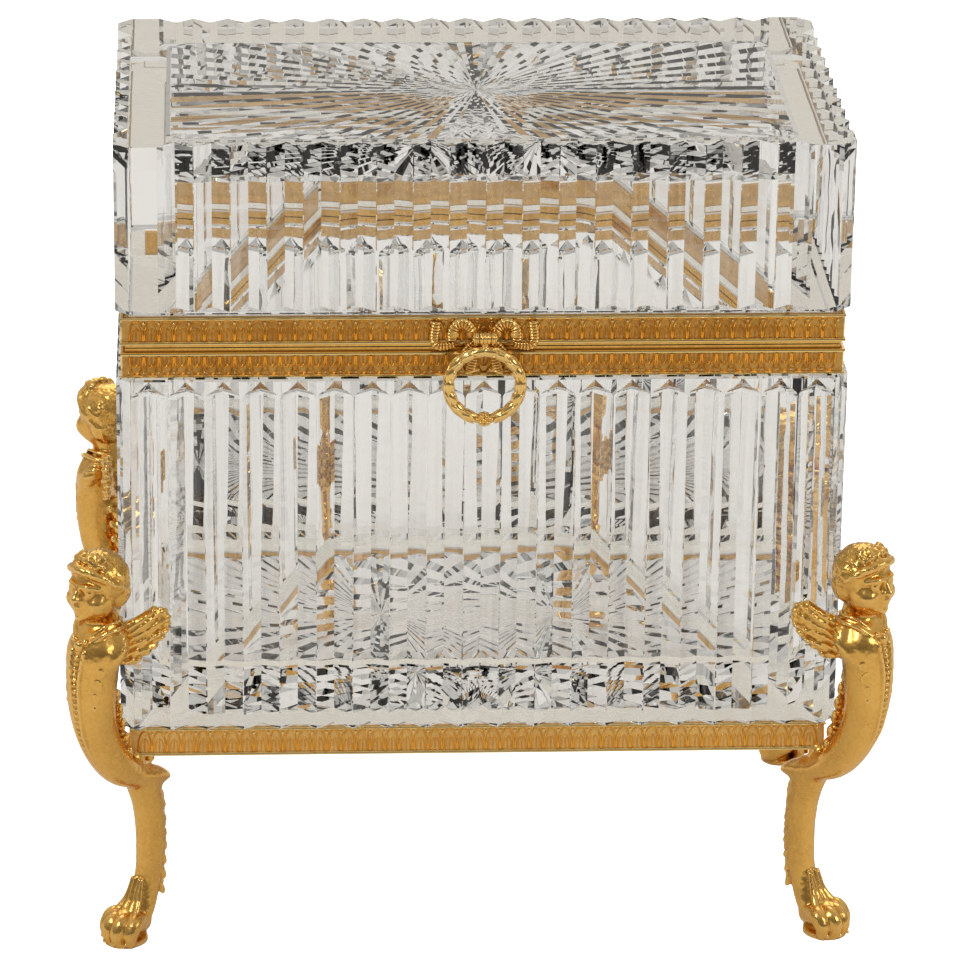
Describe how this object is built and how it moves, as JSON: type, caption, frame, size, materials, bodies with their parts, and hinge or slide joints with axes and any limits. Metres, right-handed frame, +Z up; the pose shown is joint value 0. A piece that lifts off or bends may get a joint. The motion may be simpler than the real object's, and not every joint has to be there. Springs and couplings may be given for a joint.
{
  "type": "trinket box",
  "caption": "Fluted cut-crystal casket with a hinged lid in gilt leaf-band rims, a bow and wreath ring pull, and four winged-figure corner legs.",
  "frame": {"origin": "centre of the box in plan, on the plane that the four paws stand on", "axes": "+X to the object's right seen from the front, -Y towards the front with the bow and ring, +Z up"},
  "size_m": [0.2296, 0.1496, 0.2355],
  "materials": {
    "cut_crystal": "polished lead crystal with cut flutes",
    "gilt_bronze": "fire-gilt bronze, burnished on the high parts and matt in the hollows",
    "gilt_plain": "plain gilt brass, satin",
    "cement": "matt plaster cement"
  },
  "bodies": {
    "case": {"body_crystal": "cut_crystal", "base_frame": "gilt_plain", "base_bed": "cement", "base_band_front": "gilt_bronze", "base_band_back": "gilt_bronze", "base_band_left": "gilt_bronze", "base_band_right": "gilt_bronze", "body_rim_frame": "gilt_plain", "body_rim_bed": "cement", "body_band_front": "gilt_bronze", "body_band_back": "gilt_bronze", "body_band_left": "gilt_bronze", "body_band_right": "gilt_bronze", "hinge_leaf_body": "gilt_plain", "hinge_pin": "gilt_plain", "hinge_screws_body": "gilt_plain", "leg_front_left": "gilt_bronze", "leg_front_right": "gilt_bronze", "leg_rear_left": "gilt_bronze", "leg_rear_right": "gilt_bronze", "leg_screws": "gilt_plain"},
    "lid": {"lid_crystal": "cut_crystal", "lid_rim_frame": "gilt_plain", "lid_rim_bed": "cement", "lid_band_front": "gilt_bronze", "lid_band_back": "gilt_bronze", "lid_band_left": "gilt_bronze", "lid_band_right": "gilt_bronze", "hinge_leaf_lid": "gilt_plain", "hinge_screws_lid": "gilt_plain", "bow": "gilt_bronze", "bow_rivets": "gilt_plain", "ring_staple": "gilt_plain", "ring_pin": "gilt_plain"},
    "ring": {"ring_pull": "gilt_bronze"}
  },
  "joints": [
    {"name": "lid_hinge", "type": "hinge", "parent": "case", "child": "lid", "pos_m": [0, 0.06195, 0.1775], "axis": [-1, 0, 0], "range_deg": [0, 100]},
    {"name": "ring_swing", "type": "hinge", "parent": "lid", "child": "ring", "pos_m": [0, -0.06355, 0.1819], "axis": [-1, 0, 0], "range_deg": [0, 150]}
  ]
}
